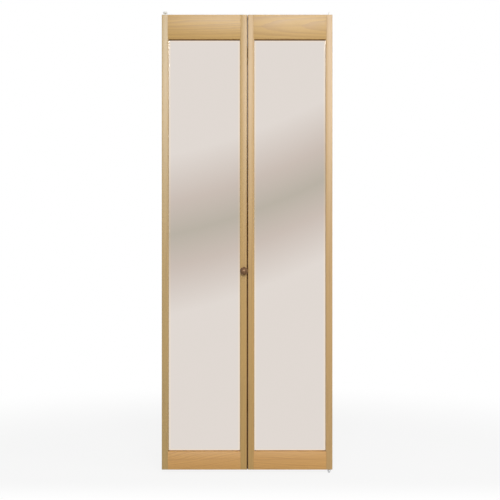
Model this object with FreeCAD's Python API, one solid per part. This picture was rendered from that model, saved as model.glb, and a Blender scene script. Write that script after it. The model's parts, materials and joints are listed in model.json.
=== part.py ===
import FreeCAD, Part
import math
import os

from FreeCAD import Vector

# Bifold closet door: two framed mirror leaves hinged together. The pivot leaf turns on pins beside the jamb,
# and the leading leaf folds against it while a wheel on its top edge follows a straight track.
#
# Millimetres. X runs right as seen from the room, Y runs into the closet and Z runs up.
# The origin is on the axis of the jamb pins, at the underside of the bottom pin's collar.
# Y = 0 is the middle plane of both leaves. The door is modelled closed.

# ---------------------------------------------------------------- driving dimensions

# Closed door
door_width = 749.3
leaf_height = 1997.0
leaf_thickness = 28.6
leaf_gap = 4.0
meeting_bevel = 8.5             # degrees that the meeting edges lean from square
pivot_inset = 14.3              # from a door's outer edge to the axis of its pins

# Frame members
stile_face = 26.5
top_rail_face = 106.0
bottom_rail_face = 77.5
moulding_radius = 3.5
quirk_depth = 0.8               # small step between the face and the moulding
lip_depth = 13.0                # thickness of the lip in front of the pane
rebate_width = 9.0
edge_round = 1.5
end_chamfer = 1.0
shoulder_chamfer = 0.6

# Pane and back
tape_thickness = 0.8
tape_width = 6.0
mirror_thickness = 4.0
backing_thickness = 3.2
pane_clearance = 1.5            # all round, inside the rebate
stop_depth = 7.0
stop_round = 3.0
brad_radius = 0.6
brad_length = 15.0
brad_end_distance = 60.0
brad_spacing = 230.0            # most that two neighbouring brads stand apart

# Frame dowels
dowel_radius = 4.0
dowel_in_stile = 16.0
dowel_in_rail = 32.0
dowel_chamfer = 0.8
dowel_wall = 5.0                # least wood beside a dowel
dowel_end_space = 0.5
glue_clearance = 0.05

# Surface hinges on the back
hinge_height = 76.0
hinge_bottom_height = 280.0     # hinge centre above the door's bottom edge
hinge_top_drop = 177.0          # hinge centre below the door's top edge
plate_thickness = 1.6
plate_reach = 22.0              # from the hinge axis to the plate's far edge
plate_corner = 3.0
knuckle_count = 5
knuckle_radius = 3.2
knuckle_gap = 0.2
knuckle_stand_off = 0.3         # between the knuckles and the backs of the leaves
knuckle_side_clearance = 0.4    # between a knuckle and the other plate
hinge_pin_radius = 1.6
hinge_pin_head_radius = 2.4
hinge_pin_head_thickness = 1.0
pin_fixed_clearance = 0.01
pin_running_clearance = 0.05

# Countersunk hinge screws
screw_head_radius = 3.3
screw_radius = 1.7
screw_length = 16.0
screw_tip_length = 3.0
screw_clearance = 0.03
screw_near_distance = 10.0      # from the hinge axis
screw_far_distance = 16.0
screw_row_height = 26.0         # from the middle screw to the outer ones
recess_width = 0.9
recess_length = 3.2
recess_depth = 1.0

# Knob on the leading leaf
knob_height = 872.0             # above the door's bottom edge
knob_head_radius = 17.5
knob_projection = 27.0
knob_underside = 12.0           # from the door's face to the underside of the head
knob_rim_radius = 3.5
knob_neck_radius = 6.5
knob_flare_radius = 2.5
knob_base_radius = 9.6
knob_base_thickness = 1.6
knob_thread_depth = 12.0
knob_screw_radius = 2.0
knob_screw_engagement = 10.0
knob_screw_head_radius = 3.8
knob_screw_head_thickness = 2.5
knob_screw_head_round = 0.8
knob_washer_radius = 5.0
knob_washer_thickness = 0.8
knob_hole_clearance = 0.25
thread_clearance = 0.02

# Sleeves let into the ends of the outer stiles
sleeve_radius = 4.76
sleeve_wall = 0.9
sleeve_clearance = 0.02         # between a sleeve and its hole in the wood
flange_radius = 8.0
flange_thickness = 1.5
top_sleeve_length = 46.0
bottom_sleeve_length = 34.0
hole_end_space = 1.0            # past the end of a sleeve

# Sprung pins in the top sleeves
pin_radius = 3.175
pin_clearance = 0.075
pin_guide_length = 12.0         # of the narrow bore, from the top of the flange
pin_shoulder_length = 5.5
pin_shoulder_clearance = 0.1
plug_thickness = 2.0
plug_clearance = 0.01
spring_wire_radius = 0.35
spring_half_turns = 18
spring_clearance = 0.3

# Top pivot of the pivot leaf
tip_radius = 3.0
tip_stand_off = 0.5             # from the flange up to the foot of the tip
tip_length = 11.5
tip_round = 1.5

# Top guide of the leading leaf
wheel_radius = 9.5
wheel_width = 5.5
wheel_round = 0.6
wheel_stand_off = 7.5           # from the flange up to the wheel
wheel_axle_radius = 2.5
wheel_clearance = 0.06
wheel_end_float = 0.3
axle_head_radius = 4.0
axle_head_thickness = 1.2

# Bottom pivot
spigot_radius = 4.76
spigot_length = 7.0
spigot_chamfer = 0.8
collar_radius = 7.5
collar_thickness = 2.0
stud_reach = 31.0               # of the threaded stud, above the door's bottom edge
stud_chamfer = 0.6
nut_across_flats = 11.1
nut_thickness = 4.5
nut_corner_drop = 0.7           # height of the turned-off corners
nut_clearance = 0.05
washer_radius = 7.5
washer_thickness = 1.0
washer_clearance = 0.1

# ---------------------------------------------------------------- derived places

across = Vector(1, 0, 0)
inwards = Vector(0, 1, 0)
outwards = Vector(0, -1, 0)
upwards = Vector(0, 0, 1)
downwards = Vector(0, 0, -1)

front_y = -leaf_thickness / 2
back_y = leaf_thickness / 2
centre_x = pivot_inset - door_width / 2
meeting_slope = math.tan(math.radians(meeting_bevel))

# The bottom pin carries the nut, the nut a washer, and the washer the flange under the pivot leaf.
door_bottom = collar_thickness + nut_thickness + washer_thickness + flange_thickness
door_top = door_bottom + leaf_height

lip_back_y = front_y + lip_depth
mirror_front_y = lip_back_y + tape_thickness
backing_front_y = mirror_front_y + mirror_thickness
stop_front_y = backing_front_y + backing_thickness

rebate_from_face = moulding_radius - rebate_width
stile_back_width = stile_face + rebate_from_face
top_rail_back = top_rail_face + rebate_from_face
bottom_rail_back = bottom_rail_face + rebate_from_face
pane_bottom = door_bottom + bottom_rail_back
pane_top = door_top - top_rail_back

hinge_axis_y = back_y + knuckle_stand_off + knuckle_radius
hinge_bottom_z = door_bottom + hinge_bottom_height
hinge_top_z = door_top - hinge_top_drop
hinge_centres = (hinge_bottom_z, (hinge_bottom_z + hinge_top_z) / 2, hinge_top_z)

knob_front_edge = centre_x - leaf_gap / 2 - front_y * meeting_slope
knob_x = (knob_front_edge + centre_x - leaf_gap / 2 - stile_face) / 2
knob_z = door_bottom + knob_height

top_flange_z = door_top + flange_thickness
pin_bore_radius = pin_radius + pin_clearance
chamber_radius = sleeve_radius - sleeve_wall
chamber_top = top_flange_z - pin_guide_length
chamber_bottom = door_top - top_sleeve_length
pin_shoulder_radius = chamber_radius - pin_shoulder_clearance
pin_shoulder_bottom = chamber_top - pin_shoulder_length
plug_top = chamber_bottom + plug_thickness
top_hole_depth = top_sleeve_length + hole_end_space
bottom_hole_depth = bottom_sleeve_length + hole_end_space


# ---------------------------------------------------------------- shape helpers

def block(x_range, y_range, z_range):
    """Box between two limits along each axis, given in either order."""
    low = Vector(min(x_range), min(y_range), min(z_range))
    high = Vector(max(x_range), max(y_range), max(z_range))
    size = high - low
    return Part.makeBox(size.x, size.y, size.z, low)


def flat_face(points):
    """Plane face with straight edges through the points."""
    return Part.Face(Part.makePolygon(points + points[:1]))


def rod(radius, start, along, length, chamfer=0.0):
    """Round bar from a start point, with the same chamfer at both ends."""
    bar = Part.makeCylinder(radius, length, start, along)
    if chamfer > 0:
        bar = bar.makeChamfer(chamfer, [edge for edge in bar.Edges if edge.Closed])
    return bar


def turned(origin, along, outline):
    """Solid turned about the line through origin. The outline is a list of (radius, distance) points."""
    radial = upwards if abs(along.z) < 0.5 else across
    points = [origin + radial * radius + along * distance for radius, distance in outline]
    return flat_face(points).revolve(origin, along, 360)


def ring(origin, along, outer_radius, inner_radius, thickness):
    """Flat round washer or tube."""
    outline = [(inner_radius, 0), (outer_radius, 0), (outer_radius, thickness), (inner_radius, thickness)]
    return turned(origin, along, outline)


def edges_through(solid, points):
    """Edges of a solid that pass through any of the points."""
    reach = 1e-4
    vertices = [Part.Vertex(point) for point in points]
    return [edge for edge in solid.Edges if any(edge.distToShape(vertex)[0] < reach for vertex in vertices)]


def cross_recess(centre, along, depth):
    """Cutter for a cross recess, sunk into a head from the centre of its outer face."""
    side = along.cross(upwards)
    cutters = []
    for long_axis, short_axis in ((side, upwards), (upwards, side)):
        long_half = long_axis * (recess_length / 2)
        short_half = short_axis * (recess_width / 2)
        corners = [
            centre + long_half + short_half,
            centre - long_half + short_half,
            centre - long_half - short_half,
            centre + long_half - short_half,
        ]
        cutters.append(flat_face(corners).extrude(along * depth))
    return cutters


# ---------------------------------------------------------------- frame members

def member(face_width, edge, inward, along, length, slope=0.0):
    """Frame member with a moulded inner edge and a rebate behind its lip.

    Edge is a point on the outer edge in the middle plane, inward points from there to the pane, and slope
    says how far the outer edge moves inward for each millimetre of depth.
    """
    def at(width, y):
        return edge + inward * width + Vector(0, y, 0)

    sight_line = face_width + moulding_radius
    rebate_line = sight_line - rebate_width
    moulding_top = front_y + quirk_depth
    half_turn = moulding_radius * math.sqrt(0.5)
    arc_start = at(face_width, moulding_top)
    arc_middle = at(face_width + half_turn, moulding_top + moulding_radius - half_turn)
    arc_end = at(sight_line, moulding_top + moulding_radius)
    corners = [
        arc_end,
        at(sight_line, lip_back_y),
        at(rebate_line, lip_back_y),
        at(rebate_line, back_y),
        at(slope * back_y, back_y),
        at(slope * front_y, front_y),
        at(face_width, front_y),
        arc_start,
    ]
    outline = [Part.Arc(arc_start, arc_middle, arc_end).toShape()]
    for start, end in zip(corners, corners[1:]):
        outline.append(Part.makeLine(start, end))
    return Part.Face(Part.Wire(outline)).extrude(along * length)


def end_wedges():
    """Cutters for the small chamfers along the top and bottom of both faces of the door."""
    left_x = centre_x - door_width / 2
    wedges = []
    for end_z, towards_middle in ((door_bottom, upwards), (door_top, downwards)):
        for face_y, into_wood in ((front_y, inwards), (back_y, outwards)):
            corner = Vector(left_x, face_y, end_z)
            outline = [corner, corner + into_wood * end_chamfer, corner + towards_middle * end_chamfer]
            wedges.append(flat_face(outline).extrude(across * door_width))
    return wedges


def outer_edge_x(side):
    return centre_x + side * door_width / 2


def hardware_x(side):
    """Axis of the sleeves in a leaf's outer stile."""
    return outer_edge_x(side) - side * pivot_inset


def stile(side, outer):
    """Outer or meeting stile of a leaf, before its holes.

    Here and below, side is 1 for the pivot leaf and -1 for the leading leaf.
    """
    if outer:
        edge = Vector(outer_edge_x(side), 0, door_bottom)
        inward = across * -side
        slope = 0.0
    else:
        edge = Vector(centre_x + side * leaf_gap / 2, 0, door_bottom)
        inward = across * side
        slope = -side * meeting_slope
    plain = member(stile_face, edge, inward, upwards, leaf_height, slope)
    corners = []
    for y in (front_y, back_y):
        corners.append(edge + inward * (slope * y) + Vector(0, y, leaf_height / 2))
    return plain.makeFillet(edge_round, edges_through(plain, corners)).cut(end_wedges())


def pane_span(side):
    """Lowest and highest x of the rebated opening between a leaf's stiles."""
    outer = outer_edge_x(side) - side * stile_back_width
    meeting = centre_x + side * (leaf_gap / 2 + stile_back_width)
    return min(outer, meeting), max(outer, meeting)


def rail(side, top, stiles):
    """Top or bottom rail of a leaf, coped over the mouldings of its stiles."""
    low_x, high_x = pane_span(side)
    if top:
        end_z, inward, face = door_top, downwards, top_rail_face
    else:
        end_z, inward, face = door_bottom, upwards, bottom_rail_face
    plain = member(face, Vector(low_x, 0, end_z), inward, across, high_x - low_x)
    shoulders = []
    for stile_x, into_rail in ((low_x - rebate_from_face, across), (high_x + rebate_from_face, -across)):
        corner = Vector(stile_x, front_y, end_z)
        outline = [corner, corner + into_rail * shoulder_chamfer, corner + inwards * shoulder_chamfer]
        shoulders.append(flat_face(outline).extrude(inward * face))
    return plain.cut(stiles).cut(shoulders).cut(end_wedges())


def dowel_places(side):
    """Point on each joint's face and the direction from there into the rail, for every dowel of a leaf."""
    low_x, high_x = pane_span(side)
    y = (lip_back_y + back_y) / 2
    edge_distance = dowel_radius + dowel_wall
    heights = [
        door_bottom + bottom_hole_depth + edge_distance,
        pane_bottom - edge_distance,
        pane_top + edge_distance,
        door_top - top_hole_depth - edge_distance,
    ]
    places = []
    for z in heights:
        places.append((Vector(low_x, y, z), across))
        places.append((Vector(high_x, y, z), -across))
    return places


def dowels(side):
    length = dowel_in_stile + dowel_in_rail
    solids = []
    for face_point, into_rail in dowel_places(side):
        start = face_point - into_rail * dowel_in_stile
        solids.append(rod(dowel_radius, start, into_rail, length, dowel_chamfer))
    return solids


def dowel_holes(side):
    length = dowel_in_stile + dowel_in_rail + 2 * dowel_end_space
    cutters = []
    for face_point, into_rail in dowel_places(side):
        start = face_point - into_rail * (dowel_in_stile + dowel_end_space)
        cutters.append(rod(dowel_radius + glue_clearance, start, into_rail, length))
    return cutters


def sleeve_hole(side, top):
    """Cutter for the hole that takes a sleeve in the end of an outer stile."""
    radius = sleeve_radius + sleeve_clearance
    if top:
        return rod(radius, Vector(hardware_x(side), 0, door_top), downwards, top_hole_depth)
    return rod(radius, Vector(hardware_x(side), 0, door_bottom), upwards, bottom_hole_depth)


# ---------------------------------------------------------------- pane and back

def pane(side, front, thickness):
    """Flat sheet that fills a leaf's rebate, less its clearance."""
    low_x, high_x = pane_span(side)
    return block(
        (low_x + pane_clearance, high_x - pane_clearance),
        (front, front + thickness),
        (pane_bottom + pane_clearance, pane_top - pane_clearance),
    )


def bedding_tape(side):
    """Four strips of foam tape on the lip, under the edges of the mirror."""
    low_x, high_x = pane_span(side)
    left = low_x + pane_clearance
    right = high_x - pane_clearance
    bottom = pane_bottom + pane_clearance
    top = pane_top - pane_clearance
    depth = (lip_back_y, mirror_front_y)
    return [
        block((left, left + tape_width), depth, (bottom, top)),
        block((right - tape_width, right), depth, (bottom, top)),
        block((left + tape_width, right - tape_width), depth, (bottom, bottom + tape_width)),
        block((left + tape_width, right - tape_width), depth, (top - tape_width, top)),
    ]


def rounded_stop(x_range, z_range, exposed_corner):
    """Strip behind the backing board, with its exposed long corner rounded."""
    plain = block(x_range, (stop_front_y, stop_front_y + stop_depth), z_range)
    return plain.makeFillet(stop_round, edges_through(plain, [exposed_corner]))


def stops(side):
    """The four strips that hold a leaf's pane in, by the name of their place."""
    low_x, high_x = pane_span(side)
    middle_x = (low_x + high_x) / 2
    middle_z = (pane_bottom + pane_top) / 2
    back = stop_front_y + stop_depth
    strips = {}
    for wall_x, into_pane in ((low_x, 1), (high_x, -1)):
        inner_x = wall_x + into_pane * rebate_width
        exposed = Vector(inner_x, back, middle_z)
        place = "outer" if into_pane == -side else "meeting"
        strips[place] = rounded_stop((wall_x, inner_x), (pane_bottom, pane_top), exposed)
    span = (low_x + rebate_width, high_x - rebate_width)
    for place, wall_z, into_pane in (("bottom", pane_bottom, 1), ("top", pane_top, -1)):
        inner_z = wall_z + into_pane * rebate_width
        exposed = Vector(middle_x, back, inner_z)
        strips[place] = rounded_stop(span, (wall_z, inner_z), exposed)
    return strips


def evenly_spaced(low, high):
    """Brad places along a strip."""
    first = low + brad_end_distance
    last = high - brad_end_distance
    steps = max(1, math.ceil((last - first) / brad_spacing))
    return [first + (last - first) * step / steps for step in range(steps + 1)]


def brads(side, extra_radius=0.0):
    """Brads through the stops into the frame, or the holes for them."""
    low_x, high_x = pane_span(side)
    y = stop_front_y + stop_depth / 2
    radius = brad_radius + extra_radius
    solids = []
    for z in evenly_spaced(pane_bottom, pane_top):
        solids.append(rod(radius, Vector(low_x + rebate_width, y, z), -across, brad_length))
        solids.append(rod(radius, Vector(high_x - rebate_width, y, z), across, brad_length))
    for x in evenly_spaced(low_x + rebate_width, high_x - rebate_width):
        solids.append(rod(radius, Vector(x, y, pane_bottom + rebate_width), downwards, brad_length))
        solids.append(rod(radius, Vector(x, y, pane_top - rebate_width), upwards, brad_length))
    return solids


# ---------------------------------------------------------------- hinges

def knuckle_spans(centre_z, side):
    """Heights of one plate's knuckles. The pivot leaf's plate has the end ones."""
    pitch = hinge_height / knuckle_count
    bottom = centre_z - hinge_height / 2
    first = 0 if side > 0 else 1
    spans = []
    for index in range(first, knuckle_count, 2):
        low = bottom + index * pitch
        spans.append((low + knuckle_gap / 2, low + pitch - knuckle_gap / 2))
    return spans


def hinge_screw(side, distance, z, clearance=0.0):
    """Countersunk screw through a hinge plate, or the hole for it."""
    head = Vector(centre_x + side * distance, back_y + plate_thickness, z)
    head_height = screw_head_radius - screw_radius
    outline = [
        (0, 0),
        (screw_head_radius + clearance, 0),
        (screw_radius + clearance, head_height),
        (screw_radius + clearance, screw_length - screw_tip_length),
        (0, screw_length + clearance),
    ]
    return turned(head, outwards, outline)


def hinge_screw_places(centre_z):
    return [
        (screw_near_distance, centre_z - screw_row_height),
        (screw_far_distance, centre_z),
        (screw_near_distance, centre_z + screw_row_height),
    ]


def hinge_screws(side):
    solids = []
    for centre_z in hinge_centres:
        for distance, z in hinge_screw_places(centre_z):
            face_centre = Vector(centre_x + side * distance, back_y + plate_thickness, z)
            recess = cross_recess(face_centre, outwards, recess_depth)
            solids.append(hinge_screw(side, distance, z).cut(recess))
    return solids


def hinge_screw_holes(side, centres=hinge_centres):
    cutters = []
    for centre_z in centres:
        for distance, z in hinge_screw_places(centre_z):
            cutters.append(hinge_screw(side, distance, z, screw_clearance))
    return cutters


def hinge_plate(side, centre_z):
    """Plate with its own knuckles, on the back of a meeting stile."""
    plate_start = knuckle_radius + knuckle_side_clearance
    low_z = centre_z - hinge_height / 2
    high_z = centre_z + hinge_height / 2
    far_x = centre_x + side * plate_reach
    depth = (back_y, back_y + plate_thickness)
    plate = block((centre_x + side * plate_start, far_x), depth, (low_z, high_z))
    far_corners = [Vector(far_x, back_y + plate_thickness / 2, z) for z in (low_z, high_z)]
    plate = plate.makeFillet(plate_corner, edges_through(plate, far_corners))
    additions = []
    for low, high in knuckle_spans(centre_z, side):
        additions.append(block((centre_x, centre_x + side * plate_start), depth, (low, high)))
        additions.append(rod(knuckle_radius, Vector(centre_x, hinge_axis_y, low), upwards, high - low))
    clearance = pin_fixed_clearance if side > 0 else pin_running_clearance
    bore = rod(hinge_pin_radius + clearance, Vector(centre_x, hinge_axis_y, low_z), upwards, hinge_height)
    whole = plate.fuse(additions).removeSplitter()
    return whole.cut([bore] + hinge_screw_holes(side, (centre_z,)))


def hinge_pin(centre_z):
    """Hinge pin with a head at each end, just clear of the end knuckles."""
    half = hinge_height / 2
    outer = half + hinge_pin_head_thickness
    outline = [
        (0, -outer),
        (hinge_pin_head_radius, -outer),
        (hinge_pin_head_radius, -half),
        (hinge_pin_radius, -half),
        (hinge_pin_radius, half),
        (hinge_pin_head_radius, half),
        (hinge_pin_head_radius, outer),
        (0, outer),
    ]
    return turned(Vector(centre_x, hinge_axis_y, centre_z), upwards, outline)


# ---------------------------------------------------------------- knob

def knob():
    """Mushroom knob: a base, a waisted neck and a domed head with a rounded rim."""
    origin = Vector(knob_x, front_y, knob_z)

    def at(radius, distance):
        return origin + upwards * radius + outwards * distance

    def arc(centre, radius, start_angle, end_angle):
        ends = []
        for angle in (start_angle, (start_angle + end_angle) / 2, end_angle):
            turn = math.radians(angle)
            ends.append(at(centre[0] + radius * math.cos(turn), centre[1] + radius * math.sin(turn)))
        return Part.Arc(*ends).toShape()

    # The dome is tangent to the rim and square to the axis, which fixes its radius and centre.
    rim_reach = knob_head_radius - knob_rim_radius
    rim_distance = knob_underside + knob_rim_radius
    dome_rise = knob_projection - rim_distance
    dome_radius = (rim_reach**2 + dome_rise**2 - knob_rim_radius**2) / (2 * (dome_rise - knob_rim_radius))
    dome_centre = knob_projection - dome_radius
    tangent_angle = math.degrees(math.atan2(rim_distance - dome_centre, rim_reach))

    flare = knob_flare_radius
    flare_radius = knob_neck_radius + flare
    neck_start = knob_base_thickness + flare
    neck_end = knob_underside - flare
    pieces = [
        Part.makeLine(at(0, 0), at(knob_base_radius, 0)),
        Part.makeLine(at(knob_base_radius, 0), at(knob_base_radius, knob_base_thickness)),
        Part.makeLine(at(knob_base_radius, knob_base_thickness), at(flare_radius, knob_base_thickness)),
        arc((flare_radius, neck_start), flare, 270, 180),
        Part.makeLine(at(knob_neck_radius, neck_start), at(knob_neck_radius, neck_end)),
        arc((flare_radius, neck_end), flare, 180, 90),
        Part.makeLine(at(flare_radius, knob_underside), at(rim_reach, knob_underside)),
        arc((rim_reach, rim_distance), knob_rim_radius, -90, tangent_angle),
        arc((0, dome_centre), dome_radius, tangent_angle, 90),
        Part.makeLine(at(0, knob_projection), at(0, 0)),
    ]
    body = Part.Face(Part.Wire(pieces)).revolve(origin, outwards, 360)
    return body.cut(rod(knob_screw_radius + thread_clearance, origin, outwards, knob_thread_depth))


def knob_washer():
    start = Vector(knob_x, back_y, knob_z)
    inner_radius = knob_screw_radius + knob_hole_clearance
    return ring(start, inwards, knob_washer_radius, inner_radius, knob_washer_thickness)


def knob_screw():
    """Machine screw through the stile from the back, with a rounded head on the washer."""
    seat = Vector(knob_x, back_y + knob_washer_thickness, knob_z)
    shank_length = knob_washer_thickness + leaf_thickness + knob_screw_engagement
    head = rod(knob_screw_head_radius, seat, inwards, knob_screw_head_thickness)
    head_face = seat + inwards * knob_screw_head_thickness
    rim = edges_through(head, [head_face + across * knob_screw_head_radius])
    head = head.makeFillet(knob_screw_head_round, [edge for edge in rim if edge.Closed])
    shank = rod(knob_screw_radius, seat, outwards, shank_length)
    return head.fuse(shank).cut(cross_recess(head_face, outwards, recess_depth))


def knob_hole():
    """Cutter for the clearance hole through the stile."""
    radius = knob_screw_radius + knob_hole_clearance
    return rod(radius, Vector(knob_x, front_y, knob_z), inwards, leaf_thickness)


# ---------------------------------------------------------------- sprung top hardware

def top_sleeve(side):
    """Flanged sleeve: a narrow bore guides the pin, and a wider chamber below holds its spring."""
    outline = [
        (pin_bore_radius, top_flange_z),
        (flange_radius, top_flange_z),
        (flange_radius, door_top),
        (sleeve_radius, door_top),
        (sleeve_radius, chamber_bottom),
        (chamber_radius, chamber_bottom),
        (chamber_radius, chamber_top),
        (pin_bore_radius, chamber_top),
    ]
    return turned(Vector(hardware_x(side), 0, 0), upwards, outline)


def pin_foot():
    """Outline of a sprung pin's shoulder, which stops under the sleeve's narrow bore."""
    return [
        (0, pin_shoulder_bottom),
        (pin_shoulder_radius, pin_shoulder_bottom),
        (pin_shoulder_radius, chamber_top),
        (pin_radius, chamber_top),
    ]


def top_pivot_pin():
    tip_foot = top_flange_z + tip_stand_off
    tip_end = tip_foot + tip_length
    outline = pin_foot() + [
        (pin_radius, tip_foot),
        (tip_radius, tip_foot),
        (tip_radius, tip_end),
        (0, tip_end),
    ]
    pin = turned(Vector(hardware_x(1), 0, 0), upwards, outline)
    rim = edges_through(pin, [Vector(hardware_x(1) + tip_radius, 0, tip_end)])
    return pin.makeFillet(tip_round, [edge for edge in rim if edge.Closed])


def guide_pin():
    """Sprung pin whose narrower axle carries the guide wheel under a riveted head."""
    wheel_foot = top_flange_z + wheel_stand_off
    head_foot = wheel_foot + wheel_width + wheel_end_float
    outline = pin_foot() + [
        (pin_radius, wheel_foot),
        (wheel_axle_radius, wheel_foot),
        (wheel_axle_radius, head_foot),
        (axle_head_radius, head_foot),
        (axle_head_radius, head_foot + axle_head_thickness),
        (0, head_foot + axle_head_thickness),
    ]
    return turned(Vector(hardware_x(-1), 0, 0), upwards, outline)


def guide_wheel():
    foot = Vector(hardware_x(-1), 0, top_flange_z + wheel_stand_off)
    plain = ring(foot, upwards, wheel_radius, wheel_axle_radius + wheel_clearance, wheel_width)
    rim_points = [foot + across * wheel_radius, foot + across * wheel_radius + upwards * wheel_width]
    rims = [edge for edge in edges_through(plain, rim_points) if edge.Closed]
    return plain.makeFillet(wheel_round, rims)


def pin_spring(side):
    """Coil spring from the plug up to the pin's shoulder, as half turns tilted so that each meets the next."""
    foot = Vector(hardware_x(side), 0, plug_top + spring_wire_radius)
    coil_radius = chamber_radius - spring_clearance - spring_wire_radius
    rise = (pin_shoulder_bottom - plug_top - 2 * spring_wire_radius) / spring_half_turns
    tilt = math.degrees(math.asin(rise / (2 * coil_radius)))
    half_turns = []
    for index in range(spring_half_turns):
        half_turn = Part.makeTorus(coil_radius, spring_wire_radius, Vector(), upwards, 0, 360, 180)
        half_turn.rotate(Vector(), inwards, tilt)
        half_turn.rotate(Vector(), upwards, 180 * (index % 2))
        half_turn.translate(foot + upwards * rise * (index + 0.5))
        half_turns.append(half_turn)
    return half_turns[0].multiFuse(half_turns[1:])


def sleeve_plug(side):
    """Disc pressed into the bottom of a top sleeve."""
    foot = Vector(hardware_x(side), 0, chamber_bottom)
    return rod(chamber_radius - plug_clearance, foot, upwards, plug_thickness)


# ---------------------------------------------------------------- bottom pivot

def bottom_pivot_pin():
    """Pin that stands in the jamb bracket by its spigot and holds the nut on its threaded stud."""
    stud_end = door_bottom + stud_reach
    outline = [
        (0, -spigot_length),
        (spigot_radius - spigot_chamfer, -spigot_length),
        (spigot_radius, spigot_chamfer - spigot_length),
        (spigot_radius, 0),
        (collar_radius, 0),
        (collar_radius, collar_thickness),
        (pin_radius, collar_thickness),
        (pin_radius, stud_end - stud_chamfer),
        (pin_radius - stud_chamfer, stud_end),
        (0, stud_end),
    ]
    return turned(Vector(hardware_x(1), 0, 0), upwards, outline)


def height_nut():
    """Hexagon nut with its corners turned off at both ends, on the collar of the bottom pin."""
    foot = Vector(hardware_x(1), 0, collar_thickness)
    corner_radius = nut_across_flats / math.sqrt(3)
    corners = []
    for step in range(6):
        turn = math.radians(60 * step)
        corners.append(foot + Vector(corner_radius * math.cos(turn), corner_radius * math.sin(turn), 0))
    hexagon = flat_face(corners).extrude(upwards * nut_thickness)
    flat_radius = nut_across_flats / 2
    envelope = turned(foot, upwards, [
        (0, 0),
        (flat_radius, 0),
        (corner_radius, nut_corner_drop),
        (corner_radius, nut_thickness - nut_corner_drop),
        (flat_radius, nut_thickness),
        (0, nut_thickness),
    ])
    return hexagon.common(envelope).cut(rod(pin_radius + nut_clearance, foot, upwards, nut_thickness))


def thrust_washer():
    foot = Vector(hardware_x(1), 0, collar_thickness + nut_thickness)
    return ring(foot, upwards, washer_radius, pin_radius + washer_clearance, washer_thickness)


def bottom_sleeve():
    """Flanged sleeve that turns on the bottom pin and carries the pivot leaf on the washer."""
    outline = [
        (pin_bore_radius, door_bottom - flange_thickness),
        (flange_radius, door_bottom - flange_thickness),
        (flange_radius, door_bottom),
        (sleeve_radius, door_bottom),
        (sleeve_radius, door_bottom + bottom_sleeve_length),
        (pin_bore_radius, door_bottom + bottom_sleeve_length),
    ]
    return turned(Vector(hardware_x(1), 0, 0), upwards, outline)


# ---------------------------------------------------------------- assembly

def leaf_nodes(name, side):
    """Wooden frame, pane and back of one leaf."""
    outer = stile(side, True)
    meeting = stile(side, False)
    holes = dowel_holes(side) + brads(side, glue_clearance)
    sleeve_holes = [sleeve_hole(side, True)]
    face_holes = hinge_screw_holes(side)
    if side > 0:
        sleeve_holes.append(sleeve_hole(side, False))
    else:
        face_holes.append(knob_hole())
    nodes = {
        "outer_stile": [outer.cut(holes + sleeve_holes)],
        "meeting_stile": [meeting.cut(holes + face_holes)],
        "top_rail": [rail(side, True, [outer, meeting]).cut(holes)],
        "bottom_rail": [rail(side, False, [outer, meeting]).cut(holes)],
        "mirror": [pane(side, mirror_front_y, mirror_thickness)],
        "bedding_tape": bedding_tape(side),
        "backing_board": [pane(side, backing_front_y, backing_thickness)],
        "frame_dowels": dowels(side),
        "stop_brads": brads(side),
    }
    for place, strip in stops(side).items():
        nodes[place + "_stop"] = [strip.cut(brads(side, glue_clearance))]
    return {f"{name}_{piece}": solids for piece, solids in nodes.items()}


def hinge_nodes():
    nodes = {"pivot_leaf_hinge_screws": hinge_screws(1), "lead_leaf_hinge_screws": hinge_screws(-1)}
    for place, centre_z in zip(("bottom", "middle", "top"), hinge_centres):
        nodes[f"{place}_hinge_pivot_plate"] = [hinge_plate(1, centre_z)]
        nodes[f"{place}_hinge_lead_plate"] = [hinge_plate(-1, centre_z)]
        nodes[f"{place}_hinge_pin"] = [hinge_pin(centre_z)]
    return nodes


def build_nodes():
    """Every piece of the door, as a list of solids by node name."""
    nodes = {}
    nodes.update(leaf_nodes("pivot_leaf", 1))
    nodes.update(leaf_nodes("lead_leaf", -1))
    nodes.update(hinge_nodes())
    nodes["knob"] = [knob()]
    nodes["knob_washer"] = [knob_washer()]
    nodes["knob_screw"] = [knob_screw()]
    nodes["top_pivot_sleeve"] = [top_sleeve(1)]
    nodes["top_pivot_pin"] = [top_pivot_pin()]
    nodes["top_pivot_spring"] = [pin_spring(1)]
    nodes["top_pivot_plug"] = [sleeve_plug(1)]
    nodes["guide_sleeve"] = [top_sleeve(-1)]
    nodes["guide_pin"] = [guide_pin()]
    nodes["guide_spring"] = [pin_spring(-1)]
    nodes["guide_plug"] = [sleeve_plug(-1)]
    nodes["guide_wheel"] = [guide_wheel()]
    nodes["bottom_pivot_pin"] = [bottom_pivot_pin()]
    nodes["bottom_pivot_sleeve"] = [bottom_sleeve()]
    nodes["height_nut"] = [height_nut()]
    nodes["thrust_washer"] = [thrust_washer()]
    return nodes


def export(nodes):
    os.makedirs("parts", exist_ok=True)
    for name, pieces in nodes.items():
        solids = [solid for piece in pieces for solid in piece.Solids]
        shape = solids[0] if len(solids) == 1 else Part.makeCompound(solids)
        shape.exportStep(f"parts/{name}.step")


door_nodes = build_nodes()
export(door_nodes)
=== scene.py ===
import json
import math

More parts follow.
